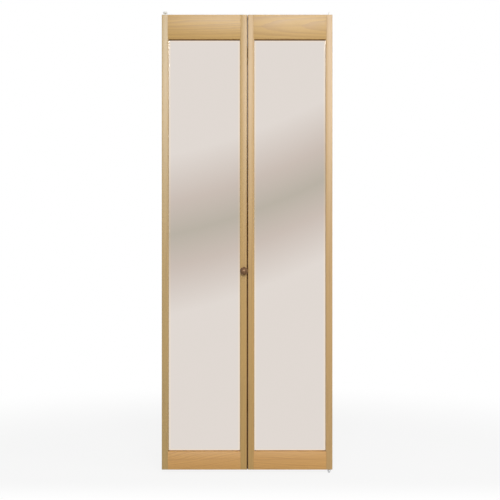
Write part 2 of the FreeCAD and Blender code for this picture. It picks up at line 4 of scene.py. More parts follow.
import bmesh
import bpy
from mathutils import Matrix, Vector

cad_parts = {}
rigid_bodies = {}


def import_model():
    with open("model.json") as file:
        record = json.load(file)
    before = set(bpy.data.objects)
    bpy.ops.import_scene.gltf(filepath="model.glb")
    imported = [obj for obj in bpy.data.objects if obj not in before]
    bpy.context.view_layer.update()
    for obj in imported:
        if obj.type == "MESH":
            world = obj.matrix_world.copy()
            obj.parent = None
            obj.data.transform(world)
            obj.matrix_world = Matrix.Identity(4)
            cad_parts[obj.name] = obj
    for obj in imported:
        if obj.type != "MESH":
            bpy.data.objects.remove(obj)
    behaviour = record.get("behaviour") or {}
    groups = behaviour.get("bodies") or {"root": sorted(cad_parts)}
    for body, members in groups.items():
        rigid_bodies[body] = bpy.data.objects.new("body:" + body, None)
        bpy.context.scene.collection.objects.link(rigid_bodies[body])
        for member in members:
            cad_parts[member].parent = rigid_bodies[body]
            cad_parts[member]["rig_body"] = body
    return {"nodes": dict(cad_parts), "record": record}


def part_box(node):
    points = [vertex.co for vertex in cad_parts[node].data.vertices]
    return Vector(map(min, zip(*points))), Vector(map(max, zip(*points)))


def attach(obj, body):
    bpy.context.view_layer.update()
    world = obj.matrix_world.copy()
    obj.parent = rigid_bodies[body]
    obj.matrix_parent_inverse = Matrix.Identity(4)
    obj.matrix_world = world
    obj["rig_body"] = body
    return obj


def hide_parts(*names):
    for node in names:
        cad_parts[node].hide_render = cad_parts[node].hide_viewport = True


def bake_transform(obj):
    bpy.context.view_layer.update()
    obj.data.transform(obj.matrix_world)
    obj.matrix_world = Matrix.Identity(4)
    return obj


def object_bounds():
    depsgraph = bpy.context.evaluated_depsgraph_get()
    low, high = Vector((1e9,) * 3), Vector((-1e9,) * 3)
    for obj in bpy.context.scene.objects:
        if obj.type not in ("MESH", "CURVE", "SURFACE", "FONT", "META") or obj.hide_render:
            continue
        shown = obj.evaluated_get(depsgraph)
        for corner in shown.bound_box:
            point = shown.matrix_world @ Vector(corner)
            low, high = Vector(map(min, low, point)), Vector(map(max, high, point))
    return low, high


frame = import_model()
cad_low, cad_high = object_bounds()

# Bifold closet door, in metres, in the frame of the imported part: +X right, +Y into the closet and
# +Z up. The wooden members, stops, knob, threaded pin and springs are new meshes that stand for
# their nodes. The other metal and nylon pieces, apart from the brads, are copies of their nodes
# with eased arrises. Panes, tapes, backing boards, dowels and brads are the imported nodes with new
# materials.


# ---------------------------------------------------------------- sizes

MM = 0.001

# Section of the frame members
MOULDING_RADIUS = 3.5 * MM
QUIRK_DEPTH = 0.8 * MM
LIP_DEPTH = 13.0 * MM
REBATE_WIDTH = 9.0 * MM
EDGE_ROUND = 1.5 * MM
MEETING_ROUND = 2.5 * MM        # of the leading leaf's arris at the fold
END_CHAMFER = 1.0 * MM
SHOULDER_CHAMFER = 0.6 * MM
LEAF_GAP = 3.5 * MM             # less than CAD's 4 mm, so that no light passes the round arrises
MEETING_SLOPE = -math.tan(math.radians(8.5))   # the meeting edges run right towards the room
SLEEVE_RADIUS = 4.76 * MM
SLEEVE_CLEARANCE = 0.02 * MM
HOLE_END_SPACE = 1.0 * MM
STOP_ROUND = 3.0 * MM

# Meshes
MOULDING_STEPS = 12
ARRIS_STEPS = 5
STOP_STEPS = 8
BORE_SEGMENTS = 48
EASED_WOOD = 0.25 * MM          # width of the sanded arrises
EASED_HARDWARE = 0.12 * MM
EASED_SEGMENTS = 2
MERGE_DISTANCE = 0.001 * MM
FLAT_ANGLE = math.radians(0.5)  # up to which two faces become one
SMOOTH_ANGLE = math.radians(35)

# Knob
KNOB_BASE_RADIUS = 9.6 * MM
KNOB_BASE_THICKNESS = 1.6 * MM
KNOB_NECK_RADIUS = 6.5 * MM
KNOB_FLARE = 2.5 * MM
KNOB_UNDERSIDE = 12.0 * MM
KNOB_RIM_RADIUS = 3.5 * MM
KNOB_GROOVE_RADIUS = 11.0 * MM  # of the fine ring turned into the dome
KNOB_GROOVE_WIDTH = 0.9 * MM
KNOB_GROOVE_DEPTH = 0.3 * MM
KNOB_SEGMENTS = 128
KNOB_EDGE_STEPS = 4
KNOB_FLARE_STEPS = 10
KNOB_RIM_STEPS = 20
KNOB_DOME_STEPS = 40

# Bottom pin, whose stud has a quarter-inch thread of twenty turns to the inch
SPIGOT_RADIUS = 4.76 * MM
SPIGOT_CHAMFER = 0.8 * MM
COLLAR_THICKNESS = 2.0 * MM
STUD_RADIUS = 3.175 * MM
STUD_CHAMFER = 0.6 * MM
THREAD_PITCH = 25.4 * MM / 20
THREAD_DEPTH = 0.55 * MM
THREAD_RUNOUT = 1.0 * MM
THREAD_SEGMENTS = 48
THREAD_ROWS_PER_TURN = 8

# Springs under the two upper pins, with a closed turn at each end
SPRING_WIRE_RADIUS = 0.35 * MM
SPRING_CLOSED_RISE = 0.73 * MM
SPRING_TURNS = 9
SPRING_STEPS_PER_TURN = 36
SPRING_WIRE_SEGMENTS = 10

# Photograph: a square picture whose scale is taken at the front of the door
PICTURE_PIXELS = 500
METRES_PER_PIXEL = 4.389 * MM
CAMERA_DISTANCE = 4.5
CAMERA_RIGHT = 12.7 * MM        # of the middle of the door
CAMERA_BELOW = 34.5 * MM        # the middle of the door
SENSOR_WIDTH = 36.0             # millimetres

bodies = {name: node["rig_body"] for name, node in frame["nodes"].items()}
slots = {part["node"]: part["material_slot"] for part in frame["record"]["subparts"]}

frame_low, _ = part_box("lead_leaf_outer_stile")
_, frame_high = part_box("pivot_leaf_outer_stile")
front_y, back_y = frame_low.y, frame_high.y
bottom_z, top_z = frame_low.z, frame_high.z
centre_x = (frame_low.x + frame_high.x) / 2
lip_back_y = front_y + LIP_DEPTH
moulding_top_y = front_y + QUIRK_DEPTH


# ---------------------------------------------------------------- mesh helpers

def middle_of(node):
    """Middle of a node's box."""
    low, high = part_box(node)
    return (low + high) / 2


def new_piece(name, mesh):
    """Object for a finished bmesh."""
    bmesh.ops.recalc_face_normals(mesh, faces=mesh.faces)
    data = bpy.data.meshes.new(name)
    mesh.to_mesh(data)
    mesh.free()
    piece = bpy.data.objects.new(name, data)
    bpy.context.scene.collection.objects.link(piece)
    return piece


def apply_modifiers(piece):
    """Makes the shape that the modifiers give the piece's own mesh."""
    depsgraph = bpy.context.evaluated_depsgraph_get()
    final = bpy.data.meshes.new_from_object(piece.evaluated_get(depsgraph))
    piece.modifiers.clear()
    piece.data = final


def combined(piece, other, operation):
    """Joins another closed mesh to the piece, or cuts it away, and removes the other one."""
    modifier = piece.modifiers.new("combine", "BOOLEAN")
    modifier.operation = operation
    modifier.solver = "EXACT"
    modifier.object = other
    apply_modifiers(piece)
    bpy.data.objects.remove(other)


def smoothed(piece):
    """The piece, shaded smooth between its sharp edges."""
    piece.data.shade_smooth()
    piece.data.set_sharp_from_angle(angle=SMOOTH_ANGLE)
    return piece


def ease_arrises(piece, width):
    """Cleans the mesh, rounds its sharp edges a little and shades it smooth between them."""
    mesh = bmesh.new()
    mesh.from_mesh(piece.data)
    bmesh.ops.remove_doubles(mesh, verts=mesh.verts, dist=MERGE_DISTANCE)
    bmesh.ops.dissolve_limit(mesh, angle_limit=FLAT_ANGLE, verts=mesh.verts, edges=mesh.edges)
    mesh.to_mesh(piece.data)
    mesh.free()
    modifier = piece.modifiers.new("ease", "BEVEL")
    modifier.width = width
    modifier.segments = EASED_SEGMENTS
    modifier.limit_method = "ANGLE"
    modifier.angle_limit = SMOOTH_ANGLE
    modifier.harden_normals = False
    apply_modifiers(piece)
    smoothed(piece)


def dress(piece, material):
    """Gives the piece one material."""
    piece.data.materials.clear()
    piece.data.materials.append(material)


def finish_piece(piece, material, node, top_node=None):
    """Gives the piece its material, puts it on the node's body and hides the node.

    If a top node is given, the piece is left where it stands, on no body.
    """
    dress(piece, material)
    if top_node:
        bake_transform(piece)
    else:
        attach(piece, bodies[node])
    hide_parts(node)


def lofted(name, loops):
    """Closed mesh through loops of as many points each, with flat ends."""
    mesh = bmesh.new()
    rings = [[mesh.verts.new(point) for point in loop] for loop in loops]
    mesh.faces.new(rings[0])
    mesh.faces.new(reversed(rings[-1]))
    for near, far in zip(rings, rings[1:]):
        for index in range(len(near)):
            after = (index + 1) % len(near)
            mesh.faces.new((near[after], near[index], far[index], far[after]))
    return new_piece(name, mesh)


def stacked(name, levels):
    """Closed mesh of rectangles stacked from front to back, each as (y, x range, z range)."""
    loops = []
    for y, (x0, x1), (z0, z1) in levels:
        loops.append([(x0, y, z0), (x1, y, z0), (x1, y, z1), (x0, y, z1)])
    return lofted(name, loops)


def turned(name, origin, along, outline, segments, relief=None):
    """Mesh turned about the axis through origin.

    The outline of (radius, distance) points starts and ends on the axis. Relief, if given, says
    how much is taken off the radius at a turn and a distance.
    """
    along = Vector(along)
    side = along.orthogonal().normalized()
    other = along.cross(side)
    mesh = bmesh.new()
    rings = []
    for radius, distance in outline:
        centre = Vector(origin) + along * distance
        if radius == 0:
            rings.append([mesh.verts.new(centre)])
            continue
        ring = []
        for step in range(segments):
            turn = 2 * math.pi * step / segments
            reach = radius - relief(turn, distance) if relief else radius
            outward = side * math.cos(turn) + other * math.sin(turn)
            ring.append(mesh.verts.new(centre + outward * reach))
        rings.append(ring)
    for near, far in zip(rings, rings[1:]):
        for step in range(segments):
            after = (step + 1) % segments
            corners = [near[step % len(near)], near[after % len(near)],
                       far[after % len(far)], far[step % len(far)]]
            mesh.faces.new(list(dict.fromkeys(corners)))
    return new_piece(name, mesh)


def arc(centre, radius, start, end, steps):
    """Points of an arc between two angles in degrees, both ends included."""
    points = []
    for step in range(steps + 1):
        turn = math.radians(start + (end - start) * step / steps)
        points.append((centre[0] + radius * math.cos(turn), centre[1] + radius * math.sin(turn)))
    return points


# ---------------------------------------------------------------- wooden frame

def inner_reach(y, behind_lip):
    """How far a member's inner side stands out past the inner edge of its face at a depth."""
    if behind_lip:
        return MOULDING_RADIUS - REBATE_WIDTH
    drop = moulding_top_y + MOULDING_RADIUS - y
    if drop >= MOULDING_RADIUS:
        return 0.0
    if drop <= 0:
        return MOULDING_RADIUS
    return math.sqrt(MOULDING_RADIUS**2 - drop**2)


def arris_inset(y, front_round):
    """How far a rounded outer edge stands in at a depth."""
    if y < (front_y + back_y) / 2:
        radius, depth = front_round, y - front_y
    else:
        radius, depth = EDGE_ROUND, back_y - y
    if depth >= radius:
        return 0.0
    return radius - math.sqrt(max(0.0, radius**2 - (radius - depth)**2))


def chamfer_inset(y, size):
    """How far a chamfered edge stands in at a depth."""
    return max(0.0, size - min(y - front_y, back_y - y))


def quarter_depths(radius, steps):
    """Depths that space the points of a quarter round evenly."""
    return [radius * (1 - math.cos(math.pi / 2 * step / steps)) for step in range(steps + 1)]


def front_depths():
    """Every y from the face to the back of the lip at which a section has a corner."""
    depths = {front_y, front_y + SHOULDER_CHAMFER, front_y + END_CHAMFER, lip_back_y}
    rounds = (
        (front_y, EDGE_ROUND, ARRIS_STEPS),
        (front_y, MEETING_ROUND, ARRIS_STEPS),
        (moulding_top_y, MOULDING_RADIUS, MOULDING_STEPS),
    )
    for start, radius, steps in rounds:
        depths.update(start + depth for depth in quarter_depths(radius, steps))
    return sorted(depths)


def rear_depths():
    """Every y behind the lip at which a section has a corner."""
    depths = {lip_back_y, back_y - END_CHAMFER, back_y}
    depths.update(back_y - depth for depth in quarter_depths(EDGE_ROUND, ARRIS_STEPS))
    return sorted(depths)


def stile_outline(node):
    """Outer edge, its lean, the face's inner edge and the inward direction of a stile."""
    low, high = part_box(node)
    inward = 1 if node in ("lead_leaf_outer_stile", "pivot_leaf_meeting_stile") else -1
    slope = MEETING_SLOPE if node.endswith("meeting_stile") else 0.0
    outer_x, sight_x = (low.x, high.x) if inward > 0 else (high.x, low.x)
    if slope:
        outer_x = centre_x + inward * LEAF_GAP / 2
    return outer_x, slope, sight_x - inward * MOULDING_RADIUS, inward


def stile_inner_x(node, y, behind_lip):
    """Where a stile's inner side is at a depth."""
    _, _, face_x, inward = stile_outline(node)
    return face_x + inward * inner_reach(y, behind_lip)


def stile(node):
    """Outer or meeting stile, with a moulded inner edge, a rebate and rounded outer arrises."""
    outer_x, slope, _, inward = stile_outline(node)
    section = [(stile_inner_x(node, y, False), y) for y in front_depths()]
    section += [(stile_inner_x(node, y, True), y) for y in rear_depths()]
    front_round = MEETING_ROUND if node == "lead_leaf_meeting_stile" else EDGE_ROUND
    for y in sorted(set(front_depths() + rear_depths()), reverse=True):
        section.append((outer_x + slope * y + inward * arris_inset(y, front_round), y))

    def level(z, chamfer):
        return [(x, min(max(y, front_y + chamfer), back_y - chamfer), z) for x, y in section]

    return lofted(node + "_wood", [
        level(bottom_z, END_CHAMFER),
        level(bottom_z + END_CHAMFER, 0.0),
        level(top_z - END_CHAMFER, 0.0),
        level(top_z, END_CHAMFER),
    ])


def rail(node, low_stile, high_stile):
    """Top or bottom rail, coped over the mouldings of its two stiles."""
    low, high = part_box(node)
    if node.endswith("top_rail"):
        outer_z, sight_z, inward = high.z, low.z, -1
    else:
        outer_z, sight_z, inward = low.z, high.z, 1
    face_z = sight_z - inward * MOULDING_RADIUS

    def level(y, behind_lip):
        edge = outer_z + inward * chamfer_inset(y, END_CHAMFER)
        inner = face_z + inward * inner_reach(y, behind_lip)
        shoulder = 0.0 if behind_lip else chamfer_inset(y, SHOULDER_CHAMFER)
        start = stile_inner_x(low_stile, y, behind_lip) + shoulder
        end = stile_inner_x(high_stile, y, behind_lip) - shoulder
        return y, (start, end), (min(edge, inner), max(edge, inner))

    piece = stacked(node + "_wood", [level(y, False) for y in front_depths()])
    combined(piece, stacked("rear", [level(y, True) for y in rear_depths()]), "UNION")
    return piece


def sleeve_bore(sleeve):
    """Cutter for the hole in a stile's end that holds a flanged sleeve."""
    low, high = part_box(sleeve)
    middle = middle_of(sleeve)
    radius = SLEEVE_RADIUS + SLEEVE_CLEARANCE
    start, end = low.z - HOLE_END_SPACE, high.z + HOLE_END_SPACE
    depth = end - start
    outline = [(0, 0), (radius, 0), (radius, depth), (0, depth)]
    return turned("bore", (middle.x, middle.y, start), (0, 0, 1), outline, BORE_SEGMENTS)


def stop(node):
    """Strip behind the backing board, with its exposed long corner rounded."""
    low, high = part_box(node)
    leaf_name, place = node.split("_leaf_")
    depths = [high.y - depth for depth in reversed(quarter_depths(STOP_ROUND, STOP_STEPS))]
    levels = []
    for y in [low.y] + depths:
        over = max(0.0, y - (high.y - STOP_ROUND))
        inset = STOP_ROUND - math.sqrt(max(0.0, STOP_ROUND**2 - over**2))
        x_range, z_range = [low.x, high.x], [low.z, high.z]
        if place == "top_stop":
            z_range[0] += inset
        elif place == "bottom_stop":
            z_range[1] -= inset
        elif (place == "outer_stop") == (leaf_name == "pivot"):
            x_range[0] += inset
        else:
            x_range[1] -= inset
        levels.append((y, x_range, z_range))
    return stacked(node + "_wood", levels)


# ---------------------------------------------------------------- hardware

def knob_outline():
    """Half section of the knob as (radius, distance from the door's face) points."""
    low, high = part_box("knob")
    projection = high.y - low.y
    rim_reach = (high.x - low.x) / 2 - KNOB_RIM_RADIUS
    rim_distance = KNOB_UNDERSIDE + KNOB_RIM_RADIUS
    # The dome touches the round rim smoothly and peaks at the knob's whole projection.
    dome_rise = projection - rim_distance
    dome_radius = ((rim_reach**2 + dome_rise**2 - KNOB_RIM_RADIUS**2)
                   / (2 * (dome_rise - KNOB_RIM_RADIUS)))
    dome_centre = projection - dome_radius
    tangent = math.degrees(math.atan2(rim_distance - dome_centre, rim_reach))
    flare_reach = KNOB_NECK_RADIUS + KNOB_FLARE
    flare_start, flare_end = KNOB_BASE_THICKNESS + KNOB_FLARE, KNOB_UNDERSIDE - KNOB_FLARE
    edge = KNOB_BASE_THICKNESS / 4
    edge_centre = (KNOB_BASE_RADIUS - edge, KNOB_BASE_THICKNESS - edge)
    points = [(0, 0), (KNOB_BASE_RADIUS - edge, 0), (KNOB_BASE_RADIUS, edge)]
    points += arc(edge_centre, edge, 0, 90, KNOB_EDGE_STEPS)
    points += arc((flare_reach, flare_start), KNOB_FLARE, 270, 180, KNOB_FLARE_STEPS)
    points += arc((flare_reach, flare_end), KNOB_FLARE, 180, 90, KNOB_FLARE_STEPS)
    points += arc((rim_reach, rim_distance), KNOB_RIM_RADIUS, -90, tangent, KNOB_RIM_STEPS)
    for radius, distance in arc((0, dome_centre), dome_radius, tangent, 90, KNOB_DOME_STEPS)[1:-1]:
        share = (radius - KNOB_GROOVE_RADIUS) / KNOB_GROOVE_WIDTH
        points.append((radius, distance - KNOB_GROOVE_DEPTH * math.exp(-2 * share**2)))
    return points + [(0, projection)]


def knob():
    """Turned knob, whose base lies on the door's face."""
    _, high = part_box("knob")
    middle = middle_of("knob")
    foot = (middle.x, high.y, middle.z)
    return smoothed(turned("knob_turned", foot, (0, -1, 0), knob_outline(), KNOB_SEGMENTS))


def threaded_pin():
    """Bottom pin with its spigot, its collar and a right-hand thread on its stud."""
    low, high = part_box("bottom_pivot_pin")
    middle = middle_of("bottom_pivot_pin")
    collar_radius = (high.x - low.x) / 2
    stud_start, stud_end = COLLAR_THICKNESS, high.z - STUD_CHAMFER
    rows = round((stud_end - stud_start) / THREAD_PITCH * THREAD_ROWS_PER_TURN)

    def thread(turn, distance):
        if not stud_start < distance < stud_end:
            return 0.0
        phase = (distance / THREAD_PITCH - turn / (2 * math.pi)) % 1
        groove = THREAD_DEPTH * (1 - abs(2 * phase - 1))
        from_end = min(distance - stud_start, stud_end - distance)
        return groove * min(1.0, from_end / THREAD_RUNOUT)

    outline = [
        (0, low.z),
        (SPIGOT_RADIUS - SPIGOT_CHAMFER, low.z),
        (SPIGOT_RADIUS, low.z + SPIGOT_CHAMFER),
        (SPIGOT_RADIUS, 0),
        (collar_radius - EASED_HARDWARE, 0),
        (collar_radius, EASED_HARDWARE),
        (collar_radius, COLLAR_THICKNESS - EASED_HARDWARE),
        (collar_radius - EASED_HARDWARE, COLLAR_THICKNESS),
    ]
    for row in range(rows + 1):
        outline.append((STUD_RADIUS, stud_start + (stud_end - stud_start) * row / rows))
    outline += [(STUD_RADIUS - STUD_CHAMFER, high.z), (0, high.z)]
    foot = (middle.x, middle.y, 0)
    return smoothed(turned("threaded_pin", foot, (0, 0, 1), outline, THREAD_SEGMENTS, thread))


def spring(node):
    """Coil of round wire between the heights of its node."""
    low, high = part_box(node)
    middle = middle_of(node)
    coil_radius = (high.x - low.x) / 2 - SPRING_WIRE_RADIUS
    rise = high.z - low.z - 2 * SPRING_WIRE_RADIUS
    steps = SPRING_TURNS * SPRING_STEPS_PER_TURN
    loops = []
    for step in range(steps + 1):
        turn = 2 * math.pi * step / SPRING_STEPS_PER_TURN
        climb = (step - SPRING_STEPS_PER_TURN) / (steps - 2 * SPRING_STEPS_PER_TURN)
        if climb < 0:
            height = SPRING_CLOSED_RISE * step / SPRING_STEPS_PER_TURN
        elif climb > 1:
            height = rise - SPRING_CLOSED_RISE * (steps - step) / SPRING_STEPS_PER_TURN
        else:
            height = SPRING_CLOSED_RISE + (rise - 2 * SPRING_CLOSED_RISE) * climb
        height += low.z + SPRING_WIRE_RADIUS
        wire = arc((coil_radius, height), SPRING_WIRE_RADIUS, 0, 360, SPRING_WIRE_SEGMENTS)[:-1]
        loops.append([(middle.x + reach * math.cos(turn), middle.y + reach * math.sin(turn), z)
                      for reach, z in wire])
    return smoothed(lofted(node + "_coil", loops))


def eased_copy(node):
    """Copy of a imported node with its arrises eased."""
    piece = bpy.data.objects.new(node + "_eased", frame["nodes"][node].data.copy())
    bpy.context.scene.collection.objects.link(piece)
    ease_arrises(piece, EASED_HARDWARE)
    return piece


# ---------------------------------------------------------------- shader helpers

class Shader:
    """The node tree of a material or world, with short ways to add the nodes used here."""

    def __init__(self, owner):
        owner.use_nodes = True
        self.owner = owner
        self.tree = owner.node_tree
        self.tree.nodes.clear()
        self.coordinates = self.add("ShaderNodeTexCoord").outputs
        self.place = self.coordinates["Object"]

    def add(self, kind, inputs=(), **settings):
        """New node with its settings, and its inputs as (socket, value or output) pairs.

        Colours have three parts.
        """
        node = self.tree.nodes.new(kind)
        for name, value in settings.items():
            setattr(node, name, value)
        for key, value in inputs:
            socket = node.inputs[key]
            if isinstance(value, bpy.types.NodeSocket):
                self.tree.links.new(value, socket)
            else:
                socket.default_value = (*value, 1.0) if socket.type == "RGBA" else value
        return node

    def math(self, operation, *values):
        """Result of a Math node."""
        return self.add("ShaderNodeMath", enumerate(values), operation=operation).outputs[0]

    def root_of_squares(self, first, second):
        """Length of a line from its two parts."""
        squares = [self.math("POWER", part, 2.0) for part in (first, second)]
        return self.math("SQRT", self.math("ADD", *squares))

    def split(self, vector):
        """The three parts of a vector."""
        return self.add("ShaderNodeSeparateXYZ", [(0, vector)]).outputs

    def join(self, x, y=0.0, z=0.0):
        """Vector of three parts."""
        return self.add("ShaderNodeCombineXYZ", enumerate((x, y, z))).outputs[0]

    def facing(self, direction):
        """How squarely the surface looks in a direction of the object, from -1 to 1."""
        vectors = [(0, self.coordinates["Normal"]), (1, direction)]
        node = self.add("ShaderNodeVectorMath", vectors, operation="DOT_PRODUCT")
        return node.outputs["Value"]

    def noise(self, vector, scale, detail=2.0, roughness=0.5):
        """Soft noise. A scale of three numbers stretches it along the axes."""
        if isinstance(scale, tuple):
            vectors = [(0, vector), (1, scale)]
            vector = self.add("ShaderNodeVectorMath", vectors, operation="MULTIPLY").outputs[0]
            scale = 1.0
        inputs = [("Vector", vector), ("Scale", scale),
                  ("Detail", detail), ("Roughness", roughness)]
        return self.add("ShaderNodeTexNoise", inputs).outputs["Fac"]

    def cells(self, vector, scale):
        """Distance to the nearest of many scattered points."""
        node = self.add("ShaderNodeTexVoronoi", [("Vector", vector), ("Scale", scale)])
        return node.outputs["Distance"]

    def spread(self, value, low, high, new_low=0.0, new_high=1.0, smooth=False):
        """Maps one range to another, and clamps it."""
        inputs = [("Value", value), ("From Min", low), ("From Max", high),
                  ("To Min", new_low), ("To Max", new_high)]
        kind = "SMOOTHSTEP" if smooth else "LINEAR"
        return self.add("ShaderNodeMapRange", inputs, interpolation_type=kind).outputs["Result"]

    def mix(self, factor, first, second):
        """Colour between two others."""
        inputs = [(0, factor), (6, first), (7, second)]
        return self.add("ShaderNodeMix", inputs, data_type="RGBA").outputs[2]

    def bump(self, height, distance, strength=1.0):
        """Normal of a surface whose relief has this depth."""
        inputs = [("Height", height), ("Distance", distance), ("Strength", strength)]
        return self.add("ShaderNodeBump", inputs).outputs["Normal"]

    def principled(self, **inputs):
        """Ends the tree in a Principled shader. Underscores in input names stand for spaces."""
        pairs = [(name.replace("_", " "), value) for name, value in inputs.items()]
        shader = self.add("ShaderNodeBsdfPrincipled", pairs)
        self.add("ShaderNodeOutputMaterial", [("Surface", shader.outputs[0])])
        return self.owner


def new_shader(name):
    """Shader for a new material."""
    return Shader(bpy.data.materials.new(name))


def tinted(colour, tint):
    """The colour with each of its parts multiplied by the tint's."""
    return tuple(part * share for part, share in zip(colour, tint))


# ---------------------------------------------------------------- materials

# Linear colours. A pair goes from dark to pale.
WHITE = (1.0, 1.0, 1.0)
PINE_EARLY = (0.500, 0.312, 0.086)
PINE_LATE = (0.345, 0.186, 0.043)
PINE_STREAK = (0.290, 0.144, 0.035)
BEECH_EARLY = (0.50, 0.31, 0.17)
BEECH_LATE = (0.40, 0.23, 0.12)
AGED_TINT = (1.12, 1.0, 0.86)
# Painted shade: the dark brown that darkens the faces in the fold gap, the undersides of the top
# rails, the tops of the bottom rails and a strip along the fold
PAINTED_SHADE_WOOD = (0.15, 0.050, 0.008)
MIRROR_TINT = (0.752, 0.694, 0.651)
MIRROR_CLOUD_TINT = (0.985, 0.985, 0.98)
# Painted reflection of the wooden frame: a warmer silver along the edges of a pane
MIRROR_REFLECTED_WOOD_TINT = (0.815, 0.725, 0.630)
MIRROR_PAINT = (0.16, 0.18, 0.18), (0.23, 0.25, 0.25)
HARDBOARD = (0.105, 0.052, 0.024), (0.265, 0.155, 0.082)
HARDBOARD_CLUMP = (0.15, 0.078, 0.037)
FOAM = (0.46, 0.46, 0.44), (0.72, 0.72, 0.69)
BRONZE = (0.105, 0.046, 0.014), (0.215, 0.112, 0.046)
BRONZE_SPECKLE = (0.045, 0.018, 0.005)
BRONZE_RUBBED = (0.46, 0.29, 0.17)
STEEL_BLOOM_TINT = (0.98, 0.93, 0.80)
NYLON = (0.74, 0.725, 0.67), (0.84, 0.83, 0.785)
FLOOR_PAPER = (0.52, 0.52, 0.515), (0.55, 0.55, 0.545)

# Wood. A pattern's scale is how often it changes in a metre along, across and into the board.
RING_WANDER_SCALE = (2.2, 14.0, 14.0)
RING_FLUTTER_SCALE = (9.0, 120.0, 120.0)
FIBRE_SCALE = (30.0, 2200.0, 2200.0)
FLECK_SCALE = (60.0, 900.0, 900.0)
STREAK_SCALE = (3.0, 75.0, 75.0)
PATCH_SCALE = (2.5, 10.0, 10.0)
RING_WANDER = 30.0 * MM         # of the pith across the board
RING_FLUTTER = 2.2 * MM         # into the board
YEAR_SCALE = 0.35               # changes for each ring
YEAR_SHIFT = 2.6                # rings by which good and poor years move the pattern
LATEWOOD_RISE = (0.25, 0.90)    # shares of a ring's width
LATEWOOD_FALL = (0.93, 1.0)
WOOD_RELIEF = 0.06 * MM
STILE_VARNISH = 1.0
RAIL_VARNISH = 0.55
GAP_SHADE_WIDTH = 4.5 * MM           # of the strip of painted shade along the fold
SHADE_FULL_BELOW = 1.05               # height up to which the painted shade and the missing varnish are full
SHADE_FADE = 0.8                 # height over which it fades

REFLECTED_WOOD_BORDER = 17.0 * MM       # width of the painted reflection of the frame along the edges of a pane
SCREEN_WAVES = 5200.0           # radians in a metre of the print on hardboard
TURNING_SCALE = 5200.0          # of the marks on the knob
RUBBED_RIM = (14.0 * MM, 17.2 * MM)            # radii between which the knob's rim gets lighter
RUBBED_CROWN = 9.0 * MM
ROLLED_ALONG, ROLLED_ACROSS = 80.0, 1800.0     # scales of the marks of rolling
NYLON_DEPTH = (1.2 * MM, 1.0 * MM, 0.8 * MM)   # that red, green and blue light goes in


